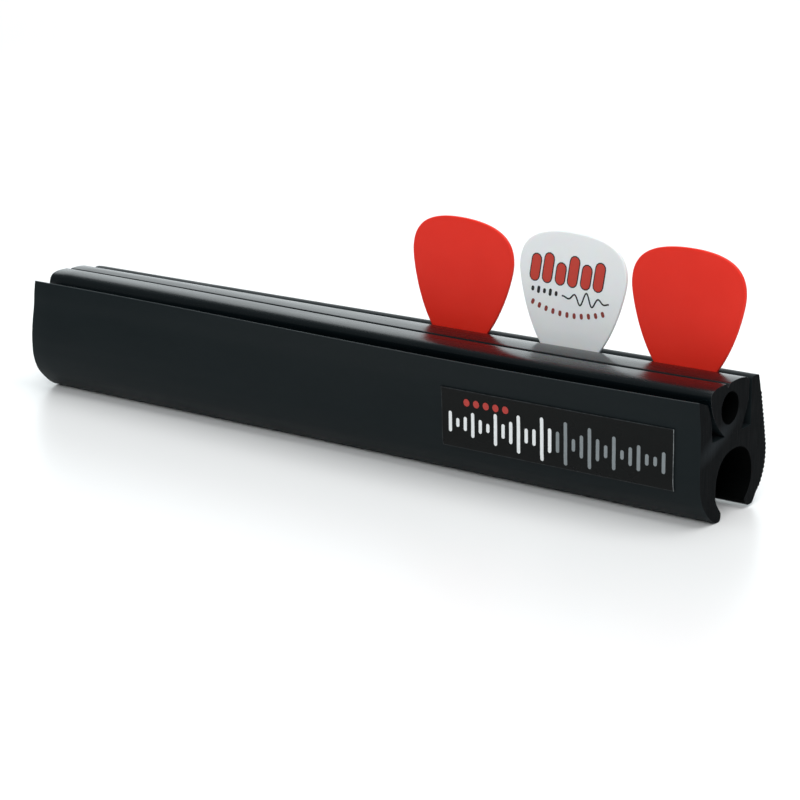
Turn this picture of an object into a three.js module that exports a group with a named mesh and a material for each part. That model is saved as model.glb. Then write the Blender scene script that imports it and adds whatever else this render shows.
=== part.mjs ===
// Pick holder for a microphone stand: one black soft extrusion that clips on the stand's tube,
// its stuck-on label, and three plectrums standing in the rear slot.
// Millimetres. X runs along the extrusion, -Y is the labelled front, +Z is up.
// The origin is the middle of the base.

import * as THREE from 'three';

// Extrusion, overall
const LENGTH = 180;
const CHANNEL_WIDTH = 14.5;     // relaxed width of the channel that grips the stand's tube
const CHANNEL_TOP = 13.75;      // height of the channel's crown above the feet
const CHANNEL_CORNER = 6;       // radius of the channel's two upper corners
const CHANNEL_OFFSET = 5.85;    // channel's middle, in front of the rear slot's middle
const MOUTH = 8.3;              // opening between the two jaws' tips
const WEB = 3.3;                // thickness of the floor between channel and slots
const SLOT_DEPTH = 9.8;         // depth of the rear slot

// Front wall
const FRONT_JAW = 6.1;          // thickness beside the channel
const FRONT_TOP_DROP = 0.65;    // front wall's top edge below the back wall's top
const FRONT_WALL = 3.8;         // thickness at its waist, level with the web
const FRONT_LIP = 3.5;          // thickness at the top
const FRONT_GAP = 1.2;          // front slot, at its top
const FRONT_UNDERCUT = 0.4;     // how far the slot's lower part reaches in under the bulb
const FRONT_BEVEL = 1.3;        // fall of the top face towards the slot

// Back wall
const BACK_JAW = 5.5;           // thickness beside the channel
const BACK_LIP = 2.6;           // thickness at the top
const RIB_PITCH = 1.6;          // grip ribs along the back
const RIB_HEIGHT = 0.3;
const RIB_TOP = 21.5;           // heights between which the ribs run
const RIB_BOTTOM = 2.2;

// Feet
const FRONT_FOOT = 2;           // flat under the hooked front jaw
const BACK_FOOT = 2.7;          // flat under the back jaw
const TIP_ROUND = 1;            // rounding of the jaws' tips
const HOOK_RISE = 5;            // height of the hook's slope on the front jaw

// Hollow bulb between the slots
const BULB_WIDTH = 14.6;
const BULB_RISE = 0.95;         // bulb's top above the back wall's top
const BULB_NECK = 4.6;          // width where the bulb stands on the web
const BULB_NECK_SHIFT = 0.6;    // neck's middle, behind the bulb's middle
const BULB_SHOULDER = 2.1;      // rounding of the bulb's upper front edge
const BULB_REAR_ROUND = 0.9;    // rounding of its upper rear edge
const BULB_HOLE_RADIUS = 3.3;
const BULB_ROOF = 1.9;          // material over the hole
const GROOVE_WIDTH = 0.9;       // shallow groove along the bulb's top
const GROOVE_DEPTH = 0.45;
const GROOVE_SETBACK = 6.4;     // groove's middle, in front of the bulb's rear face

// Label
const LABEL_LENGTH = 55.2;
const LABEL_HEIGHT = 12.7;
const LABEL_THICKNESS = 0.25;
const LABEL_ADHESIVE = 0.06;    // gap that the adhesive fills
const LABEL_BASE = 7.3;         // height of its lower edge
const LABEL_MARGIN = 5.7;       // from the extrusion's right end

// Plectrums
const PICK_WIDTH = 26;
const PICK_HEIGHT = 30;
const PICK_THICKNESS = 0.8;
const PICK_SHOULDER = 8.4;      // height of the widest place below the top
const PICK_TIP_RADIUS = 3.6;
const PICK_GRIP = 5.4;          // depth of the tip in the slot
const SLOT_CLEARANCE = 0.2;     // on each side of a plectrum
// gap is the clear width to the plectrum on the right, or to the extrusion's right end
const PICKS = [
  { name: 'pick_red_right', gap: 1.75, lean: 0.4, colour: 0xc42a20 },
  { name: 'pick_white_middle', gap: 1.75, lean: 2, colour: 0xd4d8d9 },
  { name: 'pick_red_left', gap: 2.2, lean: 3.4, colour: 0xc42a20 },
];

// Places in the section: y is measured from the rear slot's middle, z from the feet
const slotHalf = PICK_THICKNESS / 2 + SLOT_CLEARANCE;
const webTop = CHANNEL_TOP + WEB;
const backTop = webTop + SLOT_DEPTH;
const bulbTop = backTop + BULB_RISE;
const frontTop = backTop - FRONT_TOP_DROP;
const channelMid = -CHANNEL_OFFSET;
const channelFront = channelMid - CHANNEL_WIDTH / 2;
const channelBack = channelMid + CHANNEL_WIDTH / 2;
const frontBelly = channelFront - FRONT_JAW;
const backBelly = channelBack + BACK_JAW;
const hookTip = channelMid - MOUTH / 2;
const heelTip = channelMid + MOUTH / 2;
const bulbBack = -slotHalf;
const bulbFront = bulbBack - BULB_WIDTH;
const bulbMid = (bulbFront + bulbBack) / 2;
const neckFront = bulbMid + BULB_NECK_SHIFT - BULB_NECK / 2;
const neckBack = neckFront + BULB_NECK;
const holeHeight = bulbTop - BULB_ROOF - BULB_HOLE_RADIUS;
const frontSlotWall = bulbFront + FRONT_UNDERCUT;
const frontLip = bulbFront - FRONT_GAP;
const frontEdge = frontLip - FRONT_LIP;
const sectionMiddle = (Math.min(frontEdge, frontBelly) + backBelly + RIB_HEIGHT) / 2;

const point = (y, z) => new THREE.Vector2(y, z);

// Front wall's outer face, from the foot's flat up to the flared top edge
function frontFace() {
  const foot = hookTip - TIP_ROUND - FRONT_FOOT;
  const rise = CHANNEL_TOP;
  const waist = frontSlotWall - FRONT_WALL;
  return new THREE.SplineCurve([
    point(foot, 0),
    point(foot + 0.5 * (frontBelly - foot), 0.25 * rise),
    point(frontBelly + 0.13 * FRONT_JAW, 0.5 * rise),
    point(frontBelly, 0.82 * rise),
    point(waist, webTop),
    point(waist + 0.3 * (frontEdge - waist), webTop + 0.6 * (frontTop - webTop)),
    point(frontEdge, frontTop),
  ]);
}

// Back wall's outer face, from its top edge down to the foot's flat
function backFace() {
  const foot = heelTip + TIP_ROUND + BACK_FOOT;
  const lip = slotHalf + BACK_LIP;
  return new THREE.SplineCurve([
    point(lip, backTop),
    point(lip + 0.3 * (backBelly - lip), backTop - 0.16 * backTop),
    point(lip + 0.85 * (backBelly - lip), CHANNEL_TOP),
    point(backBelly, 0.78 * CHANNEL_TOP),
    point(backBelly - 0.11 * BACK_JAW, 0.46 * CHANNEL_TOP),
    point(foot + 0.45 * (backBelly - foot), 0.16 * CHANNEL_TOP),
    point(foot, 0),
  ]);
}

// The back face with rounded grip ribs: a half sine per pitch, raised along the face's normal
function ribbedBackFace() {
  const face = backFace();
  const length = face.getLength();
  const samples = Math.ceil(length / RIB_PITCH) * 5;
  const points = [];
  for (let i = 0; i <= samples; i += 1) {
    const along = i / samples;
    const base = face.getPointAt(along);
    if (base.y < RIB_TOP && base.y > RIB_BOTTOM) {
      const tangent = face.getTangentAt(along);
      const phase = (along * length) / RIB_PITCH;
      const height = RIB_HEIGHT * Math.abs(Math.sin(Math.PI * phase));
      base.x -= tangent.y * height;
      base.y += tangent.x * height;
    }
    points.push(base);
  }
  return points;
}

// Closed outline of the extrusion, clockwise from the front foot
function holderSection() {
  const outline = new THREE.Shape();
  const front = frontFace();
  outline.setFromPoints(front.getSpacedPoints(28));
  drawFrontSlot(outline);
  drawBulb(outline);
  drawRearSlot(outline);
  ribbedBackFace().forEach((p) => outline.lineTo(p.x, p.y));
  drawJawsInside(outline);
  outline.holes.push(bulbHole());
  return outline;
}

// Bevelled top of the front wall and the slot behind it, down to the web
function drawFrontSlot(outline) {
  const bend = frontTop - 0.47 * SLOT_DEPTH;
  outline.lineTo(frontLip, frontTop - FRONT_BEVEL);
  outline.quadraticCurveTo(frontSlotWall, bend, frontSlotWall, webTop + 0.2 * SLOT_DEPTH);
  outline.lineTo(frontSlotWall, webTop);
  outline.lineTo(neckFront, webTop);
}

// Hollow bulb: sloping sides, rounded shoulders and a grooved flat top
function drawBulb(outline) {
  const shoulder = bulbTop - BULB_SHOULDER;
  const groove = bulbBack - GROOVE_SETBACK;
  const rear = bulbTop - 0.35 * BULB_REAR_ROUND;
  outline.quadraticCurveTo(bulbFront + 0.3 * BULB_SHOULDER, webTop + 0.4 * SLOT_DEPTH, bulbFront, shoulder);
  outline.quadraticCurveTo(bulbFront, bulbTop, bulbFront + BULB_SHOULDER, bulbTop);
  outline.lineTo(groove - GROOVE_WIDTH / 2, bulbTop);
  outline.quadraticCurveTo(groove, bulbTop - 2 * GROOVE_DEPTH, groove + GROOVE_WIDTH / 2, bulbTop);
  outline.lineTo(bulbBack - BULB_REAR_ROUND, rear);
  outline.quadraticCurveTo(bulbBack, rear, bulbBack, rear - 1.2 * BULB_REAR_ROUND);
  outline.lineTo(bulbBack, backTop - 0.3 * SLOT_DEPTH);
  outline.quadraticCurveTo(bulbBack - 0.1 * BULB_WIDTH, webTop + 0.33 * SLOT_DEPTH, neckBack, webTop);
}

// Floor of the rear slot and the back wall's inner face
function drawRearSlot(outline) {
  outline.lineTo(slotHalf, webTop);
  outline.lineTo(slotHalf, backTop);
}

// Back jaw's tip, the arched channel, and the hook inside the front jaw
function drawJawsInside(outline) {
  const straight = CHANNEL_TOP - CHANNEL_CORNER;
  outline.lineTo(heelTip + TIP_ROUND, 0);
  outline.quadraticCurveTo(heelTip, 0, heelTip, TIP_ROUND);
  outline.quadraticCurveTo(channelBack, 0.25 * CHANNEL_TOP, channelBack, straight);
  outline.absarc(channelBack - CHANNEL_CORNER, straight, CHANNEL_CORNER, 0, Math.PI / 2, false);
  outline.absarc(channelFront + CHANNEL_CORNER, straight, CHANNEL_CORNER, Math.PI / 2, Math.PI, false);
  outline.lineTo(channelFront, HOOK_RISE);
  outline.lineTo(hookTip, 1.7 * TIP_ROUND);
  outline.quadraticCurveTo(hookTip, 0, hookTip - TIP_ROUND, 0);
}

// Round hole that runs the length of the bulb
function bulbHole() {
  const hole = new THREE.Path();
  hole.absarc(bulbMid, holeHeight, BULB_HOLE_RADIUS, 0, 2 * Math.PI, false);
  return hole;
}

// Sweeps a section (y, z) along X, from x = start
function sweepAlongX(section, start, length) {
  const body = new THREE.ExtrudeGeometry(section, { depth: length, bevelEnabled: false, curveSegments: 8 });
  const alongX = new THREE.Matrix4().makeBasis(
    new THREE.Vector3(0, 1, 0),
    new THREE.Vector3(0, 0, 1),
    new THREE.Vector3(1, 0, 0),
  );
  body.applyMatrix4(alongX);
  body.translate(start, -sectionMiddle, 0);
  return body;
}

// Thin sticker that follows the front face, its adhesive gap clear of the wall
function labelSection() {
  const face = frontFace();
  const steps = 112;
  const near = [];
  const far = [];
  for (let i = 0; i <= steps; i += 1) {
    const p = face.getPointAt(i / steps);
    if (p.y >= LABEL_BASE && p.y <= LABEL_BASE + LABEL_HEIGHT) {
      const tangent = face.getTangentAt(i / steps);
      const normal = point(-tangent.y, tangent.x);
      near.push(p.clone().addScaledVector(normal, LABEL_ADHESIVE));
      far.push(p.clone().addScaledVector(normal, LABEL_ADHESIVE + LABEL_THICKNESS));
    }
  }
  return new THREE.Shape([...near, ...far.reverse()]);
}

// Rounded-triangle plectrum outline: x across, z up from the tip
function pickOutline() {
  const half = PICK_WIDTH / 2;
  const widest = PICK_HEIGHT - PICK_SHOULDER;
  const tipX = 0.74 * PICK_TIP_RADIUS;
  const tipZ = 0.28 * PICK_TIP_RADIUS;
  const outline = new THREE.Shape();
  outline.moveTo(0, 0);
  outline.quadraticCurveTo(0.31 * PICK_TIP_RADIUS, 0, tipX, tipZ);
  outline.bezierCurveTo(0.79 * half, 0.2 * PICK_HEIGHT, half, 0.63 * PICK_HEIGHT, half, widest);
  outline.bezierCurveTo(half, widest + 0.54 * PICK_SHOULDER, 0.82 * half, PICK_HEIGHT, 0, PICK_HEIGHT);
  outline.bezierCurveTo(-0.82 * half, PICK_HEIGHT, -half, widest + 0.54 * PICK_SHOULDER, -half, widest);
  outline.bezierCurveTo(-half, 0.63 * PICK_HEIGHT, -0.79 * half, 0.2 * PICK_HEIGHT, -tipX, tipZ);
  outline.quadraticCurveTo(-0.31 * PICK_TIP_RADIUS, 0, 0, 0);
  return outline;
}

function finish(colour, roughness) {
  return new THREE.MeshStandardMaterial({ color: colour, roughness, metalness: 0 });
}

function makeHolder() {
  const mesh = new THREE.Mesh(sweepAlongX(holderSection(), -LENGTH / 2, LENGTH), finish(0x1f2123, 0.45));
  mesh.name = 'holder_extrusion';
  return mesh;
}

function makeLabel() {
  const start = LENGTH / 2 - LABEL_MARGIN - LABEL_LENGTH;
  const mesh = new THREE.Mesh(sweepAlongX(labelSection(), start, LABEL_LENGTH), finish(0x101113, 0.2));
  mesh.name = 'label';
  return mesh;
}

function makePick({ name, lean, colour }, place) {
  const body = new THREE.ExtrudeGeometry(pickOutline(), {
    depth: PICK_THICKNESS,
    bevelEnabled: false,
    curveSegments: 12,
  });
  body.translate(0, 0, -PICK_THICKNESS / 2);
  body.rotateX(Math.PI / 2);
  const mesh = new THREE.Mesh(body, finish(colour, 0.4));
  mesh.name = name;
  mesh.position.set(place, -sectionMiddle, backTop - PICK_GRIP);
  mesh.rotation.y = THREE.MathUtils.degToRad(lean);
  return mesh;
}

// Stands the plectrums side by side, from the right end leftwards
function addPicks(group) {
  let free = LENGTH / 2;
  PICKS.forEach((pick) => {
    const place = free - pick.gap - PICK_WIDTH / 2;
    group.add(makePick(pick, place));
    free = place - PICK_WIDTH / 2;
  });
}

const pickHolder = new THREE.Group();
pickHolder.add(makeHolder());
pickHolder.add(makeLabel());
addPicks(pickHolder);

export default pickHolder;
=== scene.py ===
"""Pick holder for a microphone stand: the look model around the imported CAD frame."""

import math

import bpy
import numpy as np
from bpy.props import FloatProperty, FloatVectorProperty, IntProperty, PointerProperty
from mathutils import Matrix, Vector, geometry


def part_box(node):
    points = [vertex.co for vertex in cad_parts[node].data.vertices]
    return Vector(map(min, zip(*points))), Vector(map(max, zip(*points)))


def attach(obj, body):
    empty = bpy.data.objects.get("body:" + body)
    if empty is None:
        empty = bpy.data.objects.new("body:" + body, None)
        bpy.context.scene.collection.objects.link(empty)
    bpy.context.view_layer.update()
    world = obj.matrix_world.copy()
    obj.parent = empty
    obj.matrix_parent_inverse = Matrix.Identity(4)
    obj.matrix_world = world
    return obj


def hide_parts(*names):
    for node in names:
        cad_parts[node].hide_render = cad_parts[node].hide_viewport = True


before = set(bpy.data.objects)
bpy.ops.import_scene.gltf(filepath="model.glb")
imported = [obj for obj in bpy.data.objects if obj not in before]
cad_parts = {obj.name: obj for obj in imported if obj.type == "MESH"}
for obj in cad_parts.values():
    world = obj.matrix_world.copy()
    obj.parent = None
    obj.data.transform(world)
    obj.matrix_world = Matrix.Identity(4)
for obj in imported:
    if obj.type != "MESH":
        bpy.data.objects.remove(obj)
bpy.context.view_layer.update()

bl_info = {
    "name": "Pick holder look model",
    "version": (1, 0, 0),
    "blender": (4, 5, 0),
    "location": "3D View > Sidebar > Pick holder",
    "description": "Builds the soft extrusion, its label and the plectrums around a CAD frame",
    "category": "Object",
}

MM = 0.001
HOLDER_LOW, HOLDER_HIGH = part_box("holder_extrusion")
LABEL_LOW, LABEL_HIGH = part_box("label")

# Heights of the section, from the undersides of the jaws up
CHANNEL_TOP = 13.8 * MM
WEB_TOP = CHANNEL_TOP + 3.25 * MM
BACK_TOP = WEB_TOP + 9.95 * MM
FRONT_TOP = BACK_TOP - 0.68 * MM
BULB_TOP = HOLDER_HIGH.z

# Material slots of the extrusion, and of the label's film
WALL, GLOSS, CUT, INNER, CREST = range(5)
FILM, FAINT_EDGE_HIGHLIGHT, BRIGHT_EDGE_HIGHLIGHT = range(3)

PLECTRUMS = (
    # node, body, lean to the right in degrees
    ("pick_red_right", "pick_right", 0.4),
    ("pick_white_middle", "pick_middle", 2.0),
    ("pick_red_left", "pick_left", 3.4),
)


# ---------------------------------------------------------------- curves and grids


def bezier(points, count):
    """Sum of the control points, each times its Bernstein polynomial, at count even steps."""
    points = np.asarray(points, float)
    degree = len(points) - 1
    t = np.linspace(0, 1, count)[:, None]
    weights = [math.comb(degree, k) * t**k * (1 - t) ** (degree - k) for k in range(degree + 1)]
    return sum(w * p for w, p in zip(weights, points))


def arc(centre, radius, start, end, count):
    """Centre plus radius times (cos, sin) of the angle, from start to end in degrees."""
    angle = np.radians(np.linspace(start, end, count))
    return np.column_stack((centre[0] + radius * np.cos(angle), centre[1] + radius * np.sin(angle)))


def spline(points, count):
    """Catmull-Rom curve: a cubic between two points, whose slopes are half the step past each."""
    points = np.asarray(points, float)
    padded = np.vstack((points[:1], points, points[-1:]))
    at = np.linspace(0, len(points) - 1, count)
    i = np.minimum(at.astype(int), len(points) - 2)
    t = (at - i)[:, None]
    before, here, after, beyond = (padded[i + k] for k in range(4))
    slope_in, slope_out = (after - before) / 2, (beyond - here) / 2
    return (
        (2 * t**3 - 3 * t**2 + 1) * here
        + (t**3 - 2 * t**2 + t) * slope_in
        + (3 * t**2 - 2 * t**3) * after
        + (t**3 - t**2) * slope_out
    )


def arc_length(points):
    """Running length of a polyline."""
    return np.concatenate(([0.0], np.cumsum(np.linalg.norm(np.diff(points, axis=0), axis=1))))


def even_loop(points, spacing):
    """A closed polyline, resampled at even steps of about spacing along its length."""
    closed = np.vstack((points, points[:1]))
    length = arc_length(closed)
    count = int(round(length[-1] / spacing))
    at = np.arange(count) * length[-1] / count
    return np.column_stack([np.interp(at, length, closed[:, k]) for k in range(2)])


def soften(loop, width):
    """A closed loop averaged with its neighbours under a bell curve, width points wide."""
    reach = np.arange(-3 * width, 3 * width + 1)
    weights = np.exp(-0.5 * (reach / width) ** 2)
    rolled = [w * np.roll(loop, k, axis=0) for k, w in zip(reach, weights)]
    return sum(rolled) / weights.sum()


def thin_out(loop, longest, sharpest):
    """Keeps the points of a fine loop where length / longest + turn / sharpest passes whole numbers."""
    step = np.roll(loop, -1, axis=0) - loop
    length = np.linalg.norm(step, axis=1)
    heading = np.arctan2(step[:, 1], step[:, 0])
    turn = np.abs((heading - np.roll(heading, 1) + np.pi) % (2 * np.pi) - np.pi)
    spent = np.cumsum(length / longest + turn / sharpest)
    whole = np.floor(spent)
    return loop[whole != np.roll(whole, 1)]


def left_normals(line):
    """Unit normals of an open polyline: its direction turned a quarter left."""
    along = np.gradient(line, axis=0)
    along /= np.linalg.norm(along, axis=1)[:, None]
    return np.column_stack((-along[:, 1], along[:, 0]))


def loop_normals(loop):
    """Outward unit normals of a counter-clockwise loop: its tangent turned a quarter right."""
    along = np.roll(loop, -1, axis=0) - np.roll(loop, 1, axis=0)
    along /= np.linalg.norm(along, axis=1)[:, None]
    return np.column_stack((along[:, 1], -along[:, 0]))


def smoothstep(value):
    """3t^2 - 2t^3 of the value held between 0 and 1."""
    t = np.clip(value, 0, 1)
    return t * t * (3 - 2 * t)


def ring_faces(rings, count, first=0):
    """Quads between successive closed rings of count points each."""
    i = np.arange(count)
    after = (i + 1) % count
    base = first + count * np.arange(rings - 1)[:, None]
    quads = np.stack((base + i, base + after, base + count + after, base + count + i), axis=-1)
    return quads.reshape(-1, 4)


def grid_faces(rows, columns):
    """Quads of a grid of points that are counted row by row."""
    index = np.arange(rows * columns).reshape(rows, columns)
    corners = (index[:-1, :-1], index[:-1, 1:], index[1:, 1:], index[1:, :-1])
    return np.stack(corners, axis=-1).reshape(-1, 4)


def make_mesh(name, vertices, faces, materials, slots=None, flat=None):
    """A mesh object at the origin, from arrays of vertices and faces, or a list where faces differ in size.

    slots holds each face's material, and flat is true for the faces that aren't smoothed.
    """
    mesh = bpy.data.meshes.new(name)
    face_lists = faces if isinstance(faces, list) else faces.tolist()
    mesh.from_pydata(vertices.tolist(), [], face_lists)
    for material in materials:
        mesh.materials.append(material)
    if slots is not None:
        mesh.polygons.foreach_set("material_index", np.asarray(slots, np.int32))
    smooth = np.ones(len(faces), bool) if flat is None else ~np.asarray(flat)
    mesh.polygons.foreach_set("use_smooth", smooth)
    mesh.validate()
    mesh.update()
    piece = bpy.data.objects.new(name, mesh)
    bpy.context.scene.collection.objects.link(piece)
    return piece


def shell_from_grid(outer, inner):
    """Closed thin shell: an outer and an inner grid of points, joined by quads round their rims.

    Both grids are (rows, columns, 3), with columns x rows turning right-handed to the outside.
    Returns the vertices, the faces, and how many of the first faces are the outer grid's.
    """
    rows, columns = outer.shape[:2]
    index = np.arange(rows * columns).reshape(rows, columns)
    outside = grid_faces(rows, columns)
    inside = outside[:, ::-1] + rows * columns
    rim = np.concatenate((index[0], index[1:, -1], index[-1, -2::-1], index[-2:0:-1, 0]))
    after = np.roll(rim, -1)
    wall = np.stack((rim, rim + rows * columns, after + rows * columns, after), -1)
    vertices = np.vstack((outer.reshape(-1, 3), inner.reshape(-1, 3)))
    return vertices, np.vstack((outside, inside, wall)), len(outside)


# ---------------------------------------------------------------- the extrusion's section


def front_face(size):
    """Front wall's outer face from the foot to the top edge, as (y, z) from the rear slot's middle."""
    foot = -size.channel_offset - size.mouth / 2 - 1.8 * MM
    belly = -size.channel_offset - size.channel_width / 2 - size.front_jaw
    edge = bulb_front(size) - 1.2 * MM - 3.5 * MM
    run = belly - foot
    rise = FRONT_TOP - CHANNEL_TOP
    return spline(
        (
            (foot, 0),
            (foot + 0.24 * run, 0.06 * CHANNEL_TOP),
            (foot + 0.52 * run, 0.19 * CHANNEL_TOP),
            (foot + 0.79 * run, 0.37 * CHANNEL_TOP),
            (foot + 0.94 * run, 0.6 * CHANNEL_TOP),
            (belly + 0.22 * MM, 0.84 * CHANNEL_TOP),
            (belly + 0.2 * MM, CHANNEL_TOP + 0.08 * rise),
            (belly + 0.2 * MM, CHANNEL_TOP + 0.3 * rise),
            (belly + 0.12 * MM, CHANNEL_TOP + 0.54 * rise),
            (belly + 0.45 * (edge - belly), CHANNEL_TOP + 0.77 * rise),
            (edge, FRONT_TOP),
        ),
        600,
    )


def slot_half(size):
    """Half the rear slot: half a plectrum and the clearance beside it."""
    return size.plectrum_thickness / 2 + size.slot_clearance


def bulb_front(size):
    """Foremost face of the bulb."""
    return -slot_half(size) - size.bulb_width


def front_slot(size):
    """Sloping top of the front wall, and the slot behind it down to the web."""
    wall = bulb_front(size) + 0.5 * MM
    lip = bulb_front(size) - 1.3 * MM
    bevel = FRONT_TOP - 1.3 * MM
    floor = WEB_TOP + 1.9 * MM
    return np.vstack((
        bezier(((lip - 3.3 * MM, FRONT_TOP - 0.05 * MM), (lip, bevel)), 60),
        bezier(((lip, bevel), (wall - 0.1 * MM, FRONT_TOP - 4.4 * MM), (wall, floor)), 120),
        bezier(((wall, floor), (wall + 0.2 * MM, WEB_TOP)), 30),
    ))


def bulb_outside(size):
    """Sides, boxy round shoulder and two-lobed top of the bulb, from its front neck to its rear neck.

    The shoulder is a quarter of |u|^n + |v|^n = 1: y = a(1 - cos^(2/n)), z = b sin^(2/n).
    """
    front, back = bulb_front(size), -slot_half(size)
    neck_front, neck_back = front + 5.6 * MM, back - size.bulb_neck_rear
    shoulder = BULB_TOP - size.shoulder_drop
    crown = front + size.shoulder_reach
    t = np.linspace(0, np.pi / 2, 200)
    power = 2 / size.shoulder_boxiness
    quarter = np.column_stack((
        front + size.shoulder_reach * (1 - np.cos(t) ** power),
        shoulder + size.shoulder_drop * np.sin(t) ** power,
    ))
    groove = back - size.groove_setback
    half = size.groove_width / 2
    sag = BULB_TOP - 0.16 * MM
    rear = BULB_TOP - 0.26 * MM
    rear_lobe = (0.5 * (groove + back), BULB_TOP + 0.22 * MM)
    rear_edge = (back - 1.9 * MM, rear)
    rear_foot = (back, BACK_TOP - 3.7 * MM)
    return np.vstack((
        bezier(((neck_front, WEB_TOP), (front + 0.3 * MM, WEB_TOP + 4.2 * MM), (front, shoulder)), 160),
        quarter,
        bezier(((crown, BULB_TOP), (0.4 * crown + 0.6 * groove, BULB_TOP), (groove - half, sag)), 60),
        bezier(((groove - half, sag), (groove, sag - size.groove_depth)), 20),
        bezier(((groove, sag - size.groove_depth), (groove + half, sag)), 20),
        bezier(((groove + half, sag), rear_lobe, rear_edge), 90),
        bezier((rear_edge, (back - 0.3 * MM, rear - 0.25 * MM), (back, rear - 1.3 * MM)), 60),
        bezier(((back, rear - 1.3 * MM), rear_foot), 60),
        bezier((rear_foot, (back - 0.1 * MM, WEB_TOP + 4.8 * MM), (neck_back, WEB_TOP)), 120),
    ))


def back_face(size):
    """Back wall's crown and outer face, with a sharp-valleyed rib |sin| raised on its normal."""
    lip = slot_half(size) + size.back_lip
    belly = -size.channel_offset + size.channel_width / 2 + size.back_jaw
    foot = -size.channel_offset + size.mouth / 2 + 3.7 * MM
    lift = size.heel_lift
    rise = BACK_TOP - CHANNEL_TOP
    face = spline(
        (
            (lip + 0.05 * MM, BACK_TOP - 0.25 * MM),
            (lip + 0.8 * MM, CHANNEL_TOP + 0.8 * rise),
            (lip + 1.55 * MM, CHANNEL_TOP + 0.56 * rise),
            (belly - 1.45 * MM, CHANNEL_TOP + 0.29 * rise),
            (belly - 0.55 * MM, CHANNEL_TOP),
            (belly + 0.02 * MM, 0.76 * CHANNEL_TOP),
            (belly - 0.28 * MM, 0.52 * CHANNEL_TOP),
            (belly - 1.4 * MM, 0.33 * CHANNEL_TOP),
            (belly - 2.9 * MM, 0.18 * CHANNEL_TOP + 0.5 * lift),
            (foot + 0.6 * MM, lift + 0.25 * MM),
            (foot - 0.1 * MM, lift),
        ),
        2400,
    )
    z = face[:, 1]
    fade = 0.8 * MM
    ribbed = smoothstep((size.rib_top - z) / fade) * smoothstep((z - size.rib_bottom) / fade)
    height = size.rib_height * np.abs(np.sin(np.pi * arc_length(face) / size.rib_pitch)) * ribbed
    return face + left_normals(face) * height[:, None]


def jaws_inside(size):
    """Heel of the back jaw, the arched channel, and the hook inside the front jaw.

    The arch is half of |u|^n + |v|^n = 1 over straight walls.
    """
    middle = -size.channel_offset + 0.35 * MM
    half = size.channel_width / 2 - 0.2 * MM
    base = 0.5 * CHANNEL_TOP
    hook = -size.channel_offset - size.mouth / 2
    heel = hook + size.mouth + 0.75 * MM
    lift = size.heel_lift
    t = np.linspace(0, np.pi, 400)
    power = 2 / size.arch_boxiness
    arch = np.column_stack((
        middle + half * np.sign(np.cos(t)) * np.abs(np.cos(t)) ** power,
        base + (CHANNEL_TOP - base) * np.sin(t) ** power,
    ))
    back, front = middle + half, middle - half
    heel_corner = (heel + 0.15 * MM, lift + 1.2 * MM)
    heel_top = (heel + 0.1 * MM, lift + 2.1 * MM)
    hook_root = (front, 5.2 * MM)
    hook_tip = (hook - 0.2 * MM, 1.7 * MM)
    return np.vstack((
        bezier(((heel + 1.8 * MM, lift), (heel + 1.0 * MM, lift + 0.1 * MM), heel_corner), 30),
        bezier((heel_corner, (heel - 0.25 * MM, lift + 1.6 * MM), heel_top), 20),
        bezier((heel_top, (back, 0.3 * CHANNEL_TOP), (back, base)), 100),
        arch[1:-1],
        bezier(((front, base), hook_root), 40),
        bezier((hook_root, (front + 0.1 * MM, 4.2 * MM), hook_tip), 60),
        bezier((hook_tip, (hook - 0.05 * MM, 0), (hook - 1.1 * MM, 0)), 30),
    ))


def section_loops(size):
    """Outer loop and bulb hole of the section as (y, z), counter-clockwise, finest where they turn."""
    slot = slot_half(size)
    slot_lip = (slot - 0.18 * MM, BACK_TOP - 0.5 * MM)
    clockwise = np.vstack((
        front_face(size),
        front_slot(size),
        bulb_outside(size),
        bezier(((slot, WEB_TOP), slot_lip), 100),
        bezier((slot_lip, (slot + 0.1 * MM, BACK_TOP - 0.05 * MM), (slot + 1.3 * MM, BACK_TOP)), 30),
        back_face(size),
        jaws_inside(size),
    ))
    fine, longest, sharpest = 0.04 * MM, 0.7 * MM, math.radians(9)
    corner_width = 3
    outer = soften(even_loop(clockwise[::-1], fine), corner_width)
    middle = (bulb_front(size) - slot) / 2
    height = BULB_TOP - size.bulb_roof - size.hole_radius
    hole = arc((middle, height), size.hole_radius, 0, 360, 73)[:-1]
    return thin_out(outer, longest, sharpest), hole


def relax(points, size):
    """Lean that a soft extrusion takes: y moves by bow(x) times a share of height and of depth.

    bow is a cosine along the length. The height share is ((z - hinge) / reach)^1.7, which is 1 at
    the front wall's top; the depth share falls to 0 at the rear slot. Towards the right end the
    back also leans out by splay and rides up by twist, each times a smooth step along the length.
    """
    x, y, z = points[..., 0], points[..., 1], points[..., 2]
    furthest_out, half_wave = -88 * MM, 133 * MM
    hinge, section_depth = 12 * MM, 16 * MM
    bow = size.bow_offset + size.bow * np.cos(np.pi * (x - furthest_out) / half_wave)
    share = np.clip((z - hinge) / (FRONT_TOP - hinge), 0, 1.15) ** 1.7
    depth = np.clip(-y / section_depth, 0, 1) ** 0.8
    backward = np.clip((y + 13 * MM) / section_depth, 0, 1)
    splayed = size.splay * backward * smoothstep((x + 20 * MM) / (100 * MM))
    twisted = size.twist * backward * smoothstep((x - HOLDER_LOW.x) / (HOLDER_HIGH.x - HOLDER_LOW.x))
    return np.stack((x, y + bow * share * depth + splayed, z + twisted), axis=-1)


def in_frame(points, size):
    """Relaxes points and moves them from the section's own y to the frame's y.

    The front wall's top edge, 4.7 mm before the bulb, comes to stand on the CAD solid's front.
    """
    edge = bulb_front(size) - 4.7 * MM
    return relax(points, size) + (0, HOLDER_LOW.y - edge, 0)


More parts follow.
